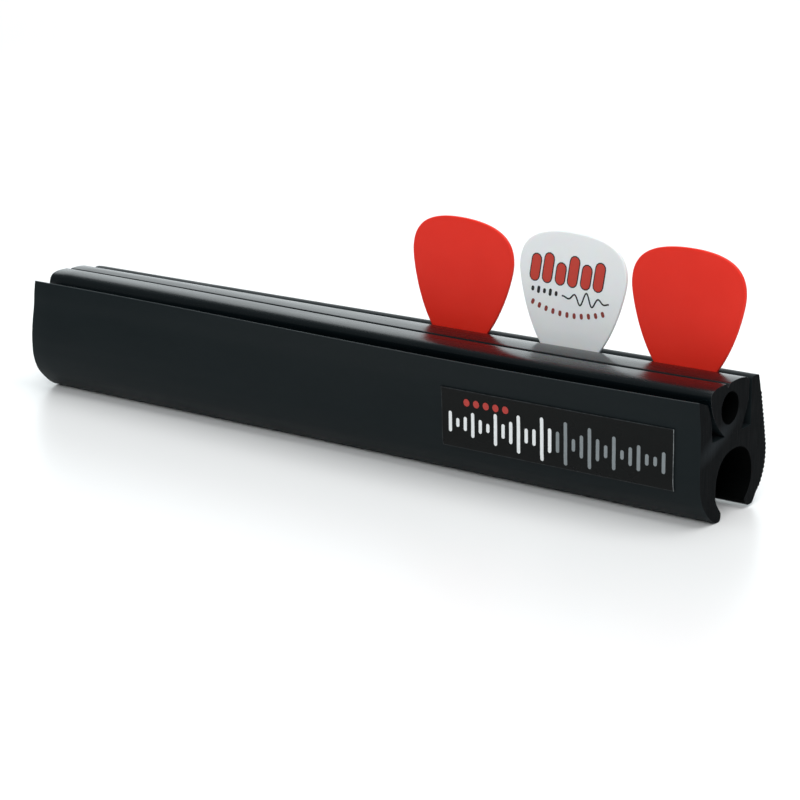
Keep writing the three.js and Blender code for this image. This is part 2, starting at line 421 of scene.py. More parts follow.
def extrusion_stations(size):
    """x of each ring and how far it is drawn in: a small quarter round where the knife cut.

    On the round, x = half - radius (1 - sin) and the inset is radius (1 - cos) of the same angle.
    """
    half = (HOLDER_HIGH.x - HOLDER_LOW.x) / 2
    radius = size.cut_round
    turn = np.radians(np.linspace(90, 0, 5))
    ends = half - radius + radius * np.sin(turn)
    inset = radius * (1 - np.cos(turn))
    body = np.linspace(-half + radius, half - radius, 37)[1:-1]
    x = np.concatenate((-ends, body, ends[::-1]))
    return x, np.concatenate((inset, np.zeros_like(body), inset[::-1]))


def skew_cut(points, size):
    """Left cut ran off square: near that end x moves in or out with y, fading over 40 mm."""
    x, y, z = points[..., 0], points[..., 1], points[..., 2]
    fade = 40 * MM
    near_end = smoothstep((HOLDER_LOW.x + fade - x) / fade)
    unmoved, depth = -9 * MM, 20 * MM
    return np.stack((x + size.cut_skew * near_end * (y - unmoved) / depth, y, z), axis=-1)


def sweep_loop(loop, outward, stations, insets):
    """Rings of a loop at each x: the point less its normal times the inset."""
    rings = loop[None] - insets[:, None, None] * outward[None]
    x = np.broadcast_to(stations[:, None, None], rings.shape[:2] + (1,))
    return np.concatenate((x, rings), axis=2)


def cap_triangles(outer, hole):
    """Triangles of the end face between the outer loop and the hole, counter-clockwise from +X."""
    loops = [np.insert(loop, 0, 0, axis=1).tolist() for loop in (outer, hole)]
    triangles = np.array(geometry.tessellate_polygon(loops))
    points = np.vstack((outer, hole))[triangles]
    first, second = points[:, 1] - points[:, 0], points[:, 2] - points[:, 0]
    turn = first[:, 0] * second[:, 1] - first[:, 1] * second[:, 0]
    triangles[turn < 0] = triangles[turn < 0][:, ::-1]
    return triangles


def skin_slots(outer, size):
    """Material of each face round the skin, told by where its first point lies in the section."""
    y, z = outer[:, 0], outer[:, 1]
    front, channel = bulb_front(size), size.channel_width / 2 + 0.3 * MM
    gloss = (y > front - 0.3 * MM) & (y < 0) & (z > WEB_TOP + 5 * MM)
    # The front wall's top edge, which takes the painted highlight
    crest = (y < front - 1.5 * MM) & (z > FRONT_TOP - 0.2 * MM)
    inner = (np.abs(y + size.channel_offset) < channel) & (z < CHANNEL_TOP + 0.1 * MM) & (z > 1 * MM)
    return np.select((inner, crest, gloss), (INNER, CREST, GLOSS), WALL)


def build_extrusion(size):
    """The section carried along x, with both ends closed."""
    outer, hole = section_loops(size)
    stations, insets = extrusion_stations(size)
    skin = in_frame(skew_cut(sweep_loop(outer, loop_normals(outer), stations, insets), size), size)
    bore = in_frame(skew_cut(sweep_loop(hole, -loop_normals(hole), stations, insets), size), size)
    rings, around, hollow = len(stations), len(outer), len(hole)
    vertices = np.vstack((skin.reshape(-1, 3), bore.reshape(-1, 3)))
    skin_faces = ring_faces(rings, around)
    bore_faces = ring_faces(rings, hollow, rings * around)[:, ::-1]

    index = np.arange(len(vertices))
    skin_index = index[: rings * around].reshape(rings, around)
    bore_index = index[rings * around :].reshape(rings, hollow)
    near, far = (
        np.append(skin_index[end], bore_index[end])[cap_triangles(skin[end, :, 1:], bore[end, :, 1:])]
        for end in (0, -1)
    )
    faces = [*skin_faces.tolist(), *bore_faces.tolist(), *far.tolist(), *near[:, ::-1].tolist()]

    slots = np.concatenate((
        np.tile(skin_slots(outer, size), rings - 1),
        np.full(len(bore_faces), INNER),
        np.full(len(far) + len(near), CUT),
    ))
    materials = (pvc_wall(size), pvc_bulb(), pvc_cut(), pvc_inner(), pvc_crest())
    return make_mesh("holder_skin", vertices, faces, materials, slots, slots == CUT)


# ---------------------------------------------------------------- the label


def on_front_face(x, z, lift, size):
    """Points on the front face at length x and height z, raised by lift along its normal."""
    face = front_face(size)
    outward = left_normals(face)
    y, out_y, out_z = (np.interp(z, face[:, 1], of) for of in (face[:, 0], outward[:, 0], outward[:, 1]))
    return in_frame(np.stack((x, y + lift * out_y, z + lift * out_z), axis=-1), size)


def build_film(label, size):
    """Dark printed film: a grid on the front face, whose outermost cells are its hairline cut edge,
    coloured as a painted highlight that is brightest on the right.
    """
    x0, x1 = LABEL_LOW.x, LABEL_HIGH.x
    z0, z1 = LABEL_LOW.z, LABEL_HIGH.z
    hair = label.edge_width
    x = np.concatenate(([x0], np.linspace(x0 + hair, x1 - hair, 70), [x1]))
    z = np.concatenate(([z0], np.linspace(z0 + hair, z1 - hair, 40), [z1]))
    grid_x, grid_z = np.meshgrid(x, z)
    outer = on_front_face(grid_x, grid_z, label.adhesive + label.thickness, size)
    inner = on_front_face(grid_x, grid_z, label.adhesive, size)
    vertices, faces, front = shell_from_grid(outer, inner)
    # Painted highlight: the outer ring of cells takes a faint pale line of light along the film's cut edge
    cells = np.full((len(z) - 1, len(x) - 1), FAINT_EDGE_HIGHLIGHT)
    cells[1:-1, 1:-1] = FILM
    # Painted highlight: the right-hand column is brighter still, a light line along the film's right edge
    cells[:, -1] = BRIGHT_EDGE_HIGHLIGHT
    slots = np.full(len(faces), FAINT_EDGE_HIGHLIGHT)
    slots[:front] = cells.ravel()
    # Greys of the painted edge highlights: faint round the film, bright on its right edge
    faint_edge_highlight = film_edge("film_edge_faint_highlight", "121516", "272b2d")
    bright_edge_highlight = film_edge("film_edge_bright_highlight", "565a5b", "808586")
    materials = (label_film(), faint_edge_highlight, bright_edge_highlight)
    return make_mesh("label_film", vertices, faces, materials, slots, np.ones(len(faces), bool))


def stadiums(centres, width, heights, turns, rows=13, columns=5):
    """Upright bars with round ends, one per centre, turned by an angle: (bar, row, column, 2).

    A row that stands past the straight part by p has the half width sqrt(radius^2 - p^2). The ends
    keep a sliver of width, so that no face shrinks to a line.
    """
    radius = width / 2
    straight = np.maximum(heights[:, None] / 2 - radius, 0)
    swing = np.linspace(-1, 1, rows)[None]
    along_straight = np.minimum(1, 2 * np.abs(swing))
    along_round = np.clip(2 * np.abs(swing) - 1, 0, 1)
    past = radius * np.sin(0.5 * np.pi * along_round)
    t = np.sign(swing) * (straight * along_straight + past)
    half = np.sqrt(np.maximum(radius**2 - past**2, (0.04 * radius) ** 2))
    u = half[:, :, None] * np.linspace(-1, 1, columns)
    v = t[:, :, None]
    cos, sin = np.cos(turns)[:, None, None], np.sin(turns)[:, None, None]
    return np.stack((
        centres[:, 0, None, None] + u * cos + v * sin,
        centres[:, 1, None, None] - u * sin + v * cos,
    ), axis=-1)


def ribbon(line, width):
    """One bar of even width along a line: its points, less shares of the width times the left normal."""
    share = np.linspace(-0.5, 0.5, 3)[None, :, None]
    return (line[:, None] - width * share * left_normals(line)[:, None])[None]


def printed_piece(name, bars, surface, lift, depth, material):
    """Ink: each bar laid on a surface as a thin closed shell, from lift to lift plus depth."""
    vertices, faces = [], []
    for bar in bars:
        outer = surface(bar[..., 0], bar[..., 1], lift + depth)
        inner = surface(bar[..., 0], bar[..., 1], lift)
        points, quads, _ = shell_from_grid(outer, inner)
        faces.append(quads + len(vertices) * len(points))
        vertices.append(points)
    count = sum(len(f) for f in faces)
    return make_mesh(name, np.vstack(vertices), np.vstack(faces), (material,), None, np.ones(count, bool))


def wave_bars(label):
    """Sound-level motif: even bars whose height is a slow swell times a quick, uneven ripple.

    swell = 0.45 + 0.55 sin^2 over the row, ripple = 0.62 + 0.38 cos of an angle that itself wavers.
    """
    count = label.bar_count
    step = (LABEL_HIGH.x - LABEL_LOW.x - 2 * label.bar_margin) / (count - 1)
    i = np.arange(count)
    swell = 0.45 + 0.55 * np.sin(np.pi * (i + 1.5) / (count + 2)) ** 2
    ripple = 0.62 + 0.38 * np.cos(2.1 * i + 0.5 * np.sin(0.9 * i))
    heights = label.bar_height * np.clip(swell * ripple, 0.2, 1)
    middle = (LABEL_LOW.z + LABEL_HIGH.z) / 2 - label.bar_drop
    centres = np.column_stack((LABEL_LOW.x + label.bar_margin + i * step, np.full(count, middle)))
    return stadiums(centres, label.bar_width, heights, np.zeros(count))


def accent_dots(label):
    """Row of small red dots above the bars' left part, each a shade taller than wide."""
    count, first, step = 5, 6.4 * MM, 2.4 * MM
    below_top = 2.6 * MM
    width, height = 1.5 * MM, 1.62 * MM
    centres = np.column_stack((
        LABEL_LOW.x + first + step * np.arange(count),
        np.full(count, LABEL_HIGH.z - below_top),
    ))
    return stadiums(centres, width, np.full(count, height), np.zeros(count))


def build_label(label, size):
    """The film and the inks on it."""

    def surface(x, z, lift):
        return on_front_face(x, z, lift, size)

    coat = 0.02 * MM
    lift = label.adhesive + label.thickness + coat
    bars = wave_bars(label)
    split = label.bar_count // 2
    white = ink_material("ink_white", label.white_ink)
    grey = ink_material("ink_grey", label.grey_ink)
    red = ink_material("ink_red", label.red_ink)
    return build_film(label, size), (
        printed_piece("label_bars_white", bars[:split], surface, lift, coat, white),
        printed_piece("label_bars_grey", bars[split:], surface, lift, coat, grey),
        printed_piece("label_accent", accent_dots(label), surface, lift, coat, red),
    )


# ---------------------------------------------------------------- the plectrums


def plectrum_outline(pick):
    """Rounded triangle, tip down at (0, 0): a round tip, two long sides and a shallow top arc."""
    half, height, shoulder = pick.width / 2, pick.height, pick.shoulder
    widest = height - shoulder
    tip_x, tip_z = 0.74 * pick.tip_radius, 0.28 * pick.tip_radius
    right = np.vstack((
        bezier(((0, 0), (0.31 * pick.tip_radius, 0), (tip_x, tip_z)), 20),
        bezier(((tip_x, tip_z), (0.79 * half, 0.2 * height), (half, 0.63 * height), (half, widest)), 80),
        bezier(((half, widest), (half, widest + 0.54 * shoulder), (0.82 * half, height), (0, height)), 60),
    ))
    left = right[::-1] * (-1, 1)
    return soften(even_loop(np.vstack((right, left)), 0.4 * MM), 1)


def leaning(x, z, angle):
    """Turns (x, z) about the tip, to the right by angle."""
    return x * math.cos(angle) + z * math.sin(angle), z * math.cos(angle) - x * math.sin(angle)


def plectrum_place(pick, node, angle):
    """Where the tip of a plectrum stands, so that its leaning outline fills its CAD node's box."""
    low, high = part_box(node)
    outline = plectrum_outline(pick)
    x, z = leaning(outline[:, 0], outline[:, 1], angle)
    return Vector(((low.x + high.x - x.min() - x.max()) / 2, (low.y + high.y) / 2, low.z - z.min()))


def bow_back(x, pick):
    """How far a plectrum curls back at x from its middle: bow (x / half width)^2."""
    return pick.bow * (x / (pick.width / 2)) ** 2


def build_plectrum(name, node, lean, pick, material):
    """Sheet with a tumbled round edge: rings round the outline, closed at the middle of both faces.

    Round the rim, the inset is radius (1 - sin) and y is half - radius (1 - cos) of the same angle.
    The whole sheet bows back by bow (x / half width)^2.
    """
    angle = math.radians(lean)
    outline = plectrum_outline(pick)
    outward = loop_normals(outline)
    middle = np.array((0, 0.55 * pick.height))
    half, radius = pick.thickness / 2, pick.edge_radius
    turn = np.radians(np.linspace(0, 90, 6))
    flat_edge = outline - radius * outward

    rim_in = radius * (1 - np.sin(turn))
    rim_y = half - radius * (1 - np.cos(turn))
    shares = np.array((0.02, 0.2, 0.4, 0.6, 0.78, 0.9, 0.97))  # of the way out from the middle
    face_rings = middle + shares[:, None, None] * (flat_edge - middle)[None]
    rim_rings = outline[None] - rim_in[:, None, None] * outward[None]
    front = np.concatenate((face_rings, rim_rings))
    front_y = np.concatenate((np.full(len(shares), half), rim_y))
    rings = np.concatenate((front, front[::-1]))
    y = np.concatenate((-front_y, front_y[::-1]))
    y = np.broadcast_to(y[:, None], rings.shape[:2])

    x, z = leaning(rings[..., 0], rings[..., 1], angle)
    place = plectrum_place(pick, node, angle)
    bow = bow_back(rings[..., 0], pick)
    points = np.stack((place.x + x, place.y + y + bow, place.z + z), axis=-1).reshape(-1, 3)
    count = len(outline)
    poles = np.array((points[:count].mean(axis=0), points[-count:].mean(axis=0)))
    vertices = np.vstack((points, poles))
    faces = ring_faces(len(rings), count)[:, ::-1].tolist()
    i = np.arange(count)
    after = (i + 1) % count
    last = len(points) - count
    faces += np.column_stack((np.full(count, len(points)), i, after)).tolist()
    faces += np.column_stack((np.full(count, len(points) + 1), last + after, last + i)).tolist()
    return make_mesh(name, vertices, faces, (material,))


def pick_print_surface(pick, node, lean):
    """Front face of a plectrum, as a function of x and z from its tip."""
    angle = math.radians(lean)
    place = plectrum_place(pick, node, angle)

    def surface(x, z, lift):
        turned_x, turned_z = leaning(x, z, angle)
        y = place.y - pick.thickness / 2 + bow_back(x, pick) - lift
        return np.stack((place.x + turned_x, y, place.z + turned_z), axis=-1)

    return surface


def level_bars(base):
    """Six slanted bars, 4.2 mm plus 2.2 |sin| high, and the wider backing that outlines them."""
    count, first, step = 6, -8.9 * MM, 3.1 * MM
    width, margin, slant = 2.1 * MM, 0.5 * MM, 0.12
    i = np.arange(count)
    heights = (4.2 + 2.2 * np.abs(np.sin(1.3 * i + 0.7))) * MM
    centres = np.column_stack((first + step * i, base + 3 * MM + heights / 2))
    slants = np.full(count, slant)
    backing = stadiums(centres, width + margin, heights + margin, slants)
    return stadiums(centres, width, heights, slants), backing


def small_marks(base):
    """Five small slanted marks, short and tall by turns, in a row that falls a little."""
    count, first, step, fall = 5, -9.4 * MM, 1.45 * MM, 0.06 * MM
    i = np.arange(count)
    heights = (1.1 + 0.5 * (i % 2)) * MM
    centres = np.column_stack((first + step * i, base + 1.2 * MM - fall * i))
    return stadiums(centres, 0.7 * MM, heights, np.full(count, 0.1))


def pulse_line(base):
    """A line that swings as a sine under a bell curve: 1.5 mm sin(2.1 x) exp(-((x - 3.6) / 3.4)^2)."""
    x = np.linspace(-2.2, 9.2, 121)
    swing = 1.5 * np.sin(2.1 * x) * np.exp(-((x - 3.6) / 3.4) ** 2)
    return ribbon(np.column_stack((x * MM, base + (0.7 + swing) * MM)), 0.34 * MM)


def dash_row(base):
    """Dashes on an arc that sags in the middle, each turned to stand square on it."""
    count, radius = 11, 25 * MM
    bend = np.radians(np.linspace(-20, 20, count))
    centres = np.column_stack((
        -0.7 * MM + radius * np.sin(bend),
        base - 3.1 * MM + radius * (1 - np.cos(bend)),
    ))
    return stadiums(centres, 0.75 * MM, np.full(count, 1.25 * MM), -bend)


def build_pick_print(pick, node, lean):
    """Plain motif on the white plectrum: level bars, a pulse line and a curved row of dashes."""
    base = 15.6 * MM
    bars, backing = level_bars(base)
    black = ink_material("ink_black", linear("1c1a1b"))
    scarlet = ink_material("ink_scarlet", linear("c23a2c"))
    maroon = ink_material("ink_maroon", linear("8e3a33"))
    surface = pick_print_surface(pick, node, lean)
    lift, coat = 0.01 * MM, 0.015 * MM
    return (
        printed_piece("pick_print_outline", backing, surface, lift, coat, black),
        printed_piece("pick_print_bars", bars, surface, lift + 2 * coat, coat, scarlet),
        printed_piece("pick_print_marks", small_marks(base), surface, lift, coat, black),
        printed_piece("pick_print_pulse", pulse_line(base), surface, lift, coat, black),
        printed_piece("pick_print_dashes", dash_row(base), surface, lift, coat, maroon),
    )


# ---------------------------------------------------------------- materials


def linear(code):
    """An sRGB hex code as a linear RGBA colour."""
    channels = [int(code[k : k + 2], 16) / 255 for k in (0, 2, 4)]
    return (*(c / 12.92 if c <= 0.04045 else ((c + 0.055) / 1.055) ** 2.4 for c in channels), 1.0)


def add_node(tree, kind, output, inputs=None, **settings):
    """Adds a node with its settings, sets its sockets or links them, and returns one output."""
    node = tree.nodes.new("ShaderNode" + kind)
    for key, value in settings.items():
        setattr(node, key, value)
    for key, value in (inputs or {}).items():
        if isinstance(value, bpy.types.NodeSocket):
            tree.links.new(value, node.inputs[key])
        else:
            node.inputs[key].default_value = value
    return node.outputs[output]


def new_material(name, *grains, **surface):
    """A material, its node tree and its grains, with the shader's constants on its own sockets.

    Each grain is a noise in object space, given as (x, y, z of its cell in mm, detail, roughness).
    """
    material = bpy.data.materials.new(name)
    material.use_nodes = True
    tree = material.node_tree
    shader = tree.nodes["Principled BSDF"]
    for key, value in surface.items():
        shader.inputs[key.replace("_", " ")].default_value = value
    place = add_node(tree, "TexCoord", "Object")
    patterns = []
    for x, y, z, detail, roughness in grains:
        cells = {"Vector": place, "Scale": (1 / (x * MM), 1 / (y * MM), 1 / (z * MM))}
        mapped = add_node(tree, "Mapping", "Vector", cells)
        noise = {"Vector": mapped, "Scale": 1, "Detail": detail, "Roughness": roughness}
        patterns.append(add_node(tree, "TexNoise", "Fac", noise))
    return material, tree, *patterns


def join_shader(tree, colour, roughness=None, normal=None):
    """Links the finished patterns to the shader."""
    shader = tree.nodes["Principled BSDF"]
    for key, pattern in (("Base Color", colour), ("Roughness", roughness), ("Normal", normal)):
        if pattern is not None:
            tree.links.new(pattern, shader.inputs[key])


def pvc_wall(size):
    """Soft black PVC, extruded: a dull satin black with faint die lines along its length."""
    material, tree, lines, orange_peel, handling = new_material(
        "soft_pvc_satin", (60, 0.5, 0.5, 4, 0.5), (2.2, 1.1, 1.1, 2, 0.5), (22, 9, 9, 3, 0.6),
        Roughness=0.42, IOR=1.5, Specular_IOR_Level=0.07)
    colour = add_node(
        tree, "Mix", 2, {0: handling, 6: size.wall_colour, 7: size.handled_colour}, data_type="RGBA")
    rough = add_node(tree, "MapRange", "Result", {
        "Value": handling, "From Min": 0.3, "From Max": 0.7, "To Min": 0.38, "To Max": 0.5})
    fine = add_node(tree, "Bump", "Normal", {"Height": lines, "Distance": 0.02 * MM, "Strength": 0.5})
    coarse = add_node(tree, "Bump", "Normal", {
        "Height": orange_peel, "Distance": 0.012 * MM, "Strength": 0.5, "Normal": fine})
    join_shader(tree, colour, rough, coarse)
    return material


def pvc_bulb():
    """The same PVC where the die polished it: glossy, so it mirrors what stands on it."""
    material, tree, lines, smear = new_material(
        "soft_pvc_gloss", (80, 0.9, 0.9, 3, 0.5), (30, 3, 3, 3, 0.6),
        Roughness=0.2, IOR=1.5, Specular_IOR_Level=0.5)
    colour = add_node(
        tree, "Mix", 2, {0: smear, 6: linear("03090c"), 7: linear("060d10")}, data_type="RGBA")
    rough = add_node(tree, "MapRange", "Result", {
        "Value": smear, "From Min": 0.3, "From Max": 0.7, "To Min": 0.22, "To Max": 0.32})
    bump = add_node(tree, "Bump", "Normal", {"Height": lines, "Distance": 0.012 * MM, "Strength": 0.45})
    join_shader(tree, colour, rough, bump)
    return material


def pvc_crest():
    """Painted highlight along the front wall's top edge: a thin, slightly broken grey line coloured into
    the PVC.
    """
    material, tree, highlight_breaks = new_material(
        "soft_pvc_crest_highlight", (14, 1.5, 1.5, 3, 0.5), Roughness=0.45, IOR=1.5, Specular_IOR_Level=0.3)
    # Painted highlight: these pale greys stand in for light caught on the top edge
    colour = add_node(
        tree, "Mix", 2, {0: highlight_breaks, 6: linear("23292b"), 7: linear("353b3d")}, data_type="RGBA")
    bump = add_node(tree, "Bump", "Normal", {"Height": highlight_breaks, "Distance": 0.03 * MM, "Strength": 0.4})
    join_shader(tree, colour, normal=bump)
    return material


def pvc_inner():
    """PVC inside the channel and the hole, rough from the mandrel: dead black, with drawn lines."""
    material, tree, lines = new_material(
        "soft_pvc_inner", (50, 0.7, 0.7, 3, 0.5), Roughness=0.7, IOR=1.5, Specular_IOR_Level=0.02)
    colour = add_node(
        tree, "Mix", 2, {0: lines, 6: linear("020303"), 7: linear("040505")}, data_type="RGBA")
    bump = add_node(tree, "Bump", "Normal", {"Height": lines, "Distance": 0.03 * MM, "Strength": 0.5})
    join_shader(tree, colour, normal=bump)
    return material


def pvc_cut():
    """PVC sliced across by a blade: matt and nearly black, with fine upright drag marks.

    A soft slanting patch across the web of the cut faces is painted paler, a painted sheen.
    """
    material, tree, drag, mottle = new_material(
        "soft_pvc_cut_face", (2, 0.35, 6, 4, 0.6), (4, 4, 2.5, 4, 0.6),
        Roughness=0.6, IOR=1.5, Specular_IOR_Level=0.03)
    colour = add_node(
        tree, "Mix", 2, {0: mottle, 6: linear("040608"), 7: linear("0c0f11")}, data_type="RGBA")
    # Painted sheen: a soft slanting spot on the cut faces, around the web
    sheen_patch = add_node(tree, "Mapping", "Vector", {
        "Vector": add_node(tree, "TexCoord", "Object"),
        "Location": (HOLDER_HIGH.x, -6.2 * MM, 17 * MM),
        "Rotation": (math.radians(24), 0, 0),
        "Scale": (1, 11 * MM, 2.6 * MM)}, vector_type="TEXTURE")
    sheen_spot = add_node(tree, "TexGradient", "Fac", {"Vector": sheen_patch}, gradient_type="SPHERICAL")
    painted_sheen = add_node(tree, "MapRange", "Result", {
        "Value": sheen_spot, "From Min": 0, "From Max": 0.8, "To Min": 0, "To Max": 0.75})
    # Painted sheen: inside the spot the cut face's colour is mixed toward a paler grey
    pale = add_node(tree, "Mix", 2, {0: painted_sheen, 6: colour, 7: linear("272b2e")}, data_type="RGBA")
    rough = add_node(tree, "MapRange", "Result", {
        "Value": drag, "From Min": 0.3, "From Max": 0.7, "To Min": 0.5, "To Max": 0.7})
    marks = add_node(tree, "Bump", "Normal", {"Height": drag, "Distance": 0.05 * MM, "Strength": 0.6})
    bump = add_node(tree, "Bump", "Normal", {
        "Height": mottle, "Distance": 0.08 * MM, "Strength": 0.4, "Normal": marks})
    join_shader(tree, pale, rough, bump)
    return material


def label_film():
    """Black vinyl film with a gloss laminate: a shade smoother than the wall, with slight waves."""
    material, tree, waves, dust = new_material(
        "vinyl_film", (7, 5, 5, 2, 0.5), (0.4, 0.4, 0.4, 2, 0.5),
        Roughness=0.3, IOR=1.5, Specular_IOR_Level=0.1)
    colour = add_node(
        tree, "Mix", 2, {0: dust, 6: linear("090b0b"), 7: linear("0f1111")}, data_type="RGBA")
    rough = add_node(tree, "MapRange", "Result", {
        "Value": waves, "From Min": 0.3, "From Max": 0.7, "To Min": 0.26, "To Max": 0.36})
    bump = add_node(tree, "Bump", "Normal", {"Height": waves, "Distance": 0.05 * MM, "Strength": 0.5})
    join_shader(tree, colour, rough, bump)
    return material


def film_edge(name, dull, bright):
    """Cut edge of the clear laminate, as a painted highlight: a thin grey line of light, broken in places.
    """
    material, tree, breaks = new_material(
        name, (1.4, 1.4, 1.4, 4, 0.7), Roughness=0.4, IOR=1.5, Specular_IOR_Level=0.2)
    share = add_node(tree, "MapRange", "Result", {
        "Value": breaks, "From Min": 0.4, "From Max": 0.6, "To Min": 0, "To Max": 1})
    colour = add_node(tree, "Mix", 2, {0: share, 6: linear(dull), 7: linear(bright)}, data_type="RGBA")
    join_shader(tree, colour)
    return material


def ink_material(name, full):
    """Screen-printed ink: flat and opaque, a little darker where the coat is thin."""
    material, tree, grain = new_material(
        name, (0.5, 0.5, 0.5, 3, 0.5), Roughness=0.45, IOR=1.5, Specular_IOR_Level=0.4)
    thin = (0.86 * full[0], 0.86 * full[1], 0.86 * full[2], 1)
    colour = add_node(tree, "Mix", 2, {0: grain, 6: thin, 7: full}, data_type="RGBA")
    bump = add_node(tree, "Bump", "Normal", {"Height": grain, "Distance": 0.01 * MM, "Strength": 0.4})
    join_shader(tree, colour, normal=bump)
    return material


def celluloid(name, deep, pale):
    """Matt celluloid sheet, punched and tumbled: even colour, a soft bloom and faint scuffs."""
    material, tree, cloud, grain, scuff = new_material(
        name, (9, 9, 9, 3, 0.55), (0.16, 0.16, 0.16, 2, 0.5), (0.3, 1, 3.5, 5, 0.65),
        Roughness=0.5, IOR=1.5, Specular_IOR_Level=0.2,
        Subsurface_Weight=0.2, Subsurface_Scale=0.6 * MM)
    colour = add_node(tree, "Mix", 2, {0: cloud, 6: deep, 7: pale}, data_type="RGBA")
    rough = add_node(tree, "MapRange", "Result", {
        "Value": scuff, "From Min": 0.35, "From Max": 0.65, "To Min": 0.4, "To Max": 0.52})
    fine = add_node(tree, "Bump", "Normal", {"Height": grain, "Distance": 0.008 * MM, "Strength": 0.5})
    bump = add_node(tree, "Bump", "Normal", {
        "Height": scuff, "Distance": 0.01 * MM, "Strength": 0.35, "Normal": fine})
    join_shader(tree, colour, rough, bump)
    return material


def white_board():
    """White lacquered board: pale and even, glossy enough to carry a soft reflection."""
    material, tree, haze = new_material(
        "white_board", (300, 300, 300, 2, 0.5), Roughness=0.34, IOR=1.5, Specular_IOR_Level=0.7)
    colour = add_node(
        tree, "Mix", 2, {0: haze, 6: linear("eff0f0"), 7: linear("f3f3f3")}, data_type="RGBA")
    rough = add_node(tree, "MapRange", "Result", {
        "Value": haze, "From Min": 0.3, "From Max": 0.7, "To Min": 0.31, "To Max": 0.36})
    join_shader(tree, colour, rough)
    return material


# ---------------------------------------------------------------- stage


def build_floor(stage):
    """Level square sheet under the object, as a grid of even steps."""
    lines = 5
    step = np.linspace(-stage.floor_size / 2, stage.floor_size / 2, lines)
    x, y = np.meshgrid(step, step)
    points = np.stack((x, y, np.zeros_like(x)), axis=-1).reshape(-1, 3)
    return make_mesh("studio_floor", points, grid_faces(lines, lines), (white_board(),))


def aim(thing, target):
    """Points an object's -Z at the target, with its own up kept upright."""
    away = thing.location - Vector(target)
    thing.rotation_euler = away.to_track_quat("Z", "Y").to_euler()


def add_softbox(name, place, target, width, height, power, colour):
    """Rectangular area light: its place and sides in metres, its power in watts."""
    data = bpy.data.lights.new(name, "AREA")
    data.shape = "RECTANGLE"
    data.size = width
    data.size_y = height
    data.energy = power
    data.color = colour
    light = bpy.data.objects.new(name, data)
    light.location = place
    aim(light, target)
    bpy.context.scene.collection.objects.link(light)
    return light


def build_lights():
    """A wide backdrop light behind, a soft light overhead, a key at the front right, and a fill."""
    cool, white = (0.92, 0.98, 1.0), (1, 1, 1)
    add_softbox("backdrop", (-1.05, 1.25, 0.62), (0, 0, 0.1), 3.0, 1.3, 18, cool)
    add_softbox("overhead", (0.35, 0.1, 1.3), (0, 0, 0), 1.2, 1.2, 15, white)
    add_softbox("key", (0.55, -1.05, 0.95), (0, 0, 0.02), 0.8, 0.8, 12, white)
    fill = add_softbox("fill", (-0.75, -0.6, 0.3), (-0.08, 0, 0.02), 0.5, 0.5, 1.7, cool)
    # It only lifts the wall's left part; mirrored, it would draw a band along the glossy bulb
    fill.visible_glossy = False


def build_camera(stage):
    """Camera on a sphere round its target, at an azimuth from -Y and an elevation."""
    turn, rise = stage.azimuth, stage.elevation
    target = Vector(stage.target)
    way = Vector((math.sin(turn) * math.cos(rise), -math.cos(turn) * math.cos(rise), math.sin(rise)))
    data = bpy.data.cameras.new("camera")
    data.lens = stage.lens
    data.sensor_width = 36
    data.clip_start = 0.01
    data.clip_end = 20
    camera = bpy.data.objects.new("camera", data)
    camera.location = target + stage.distance * way
    aim(camera, target)
    bpy.context.scene.collection.objects.link(camera)
    bpy.context.scene.camera = camera


def build_world(stage):
    """Even, slightly cool surroundings, and colours shown as they are."""
    world = bpy.data.worlds.new("studio")
    world.use_nodes = True
    background = world.node_tree.nodes["Background"]
    background.inputs["Color"].default_value = (0.86, 0.97, 1.0, 1)
    background.inputs["Strength"].default_value = stage.surroundings
    bpy.context.scene.world = world
    bpy.context.scene.view_settings.view_transform = "Standard"


# ---------------------------------------------------------------- settings


def length(name, description, millimetres):
    """A length setting, its default given in millimetres."""
    return FloatProperty(
        name=name, description=description, default=millimetres * MM, unit="LENGTH", precision=5)


def number(name, description, value, **kind):
    """A plain setting, with its unit or subtype where one fits."""
    return FloatProperty(name=name, description=description, default=value, **kind)


def tint(name, description, code):
    """A colour setting, its default given as an sRGB hex code."""
    return FloatVectorProperty(
        name=name, description=description, default=linear(code), size=4, min=0, max=1, subtype="COLOR")


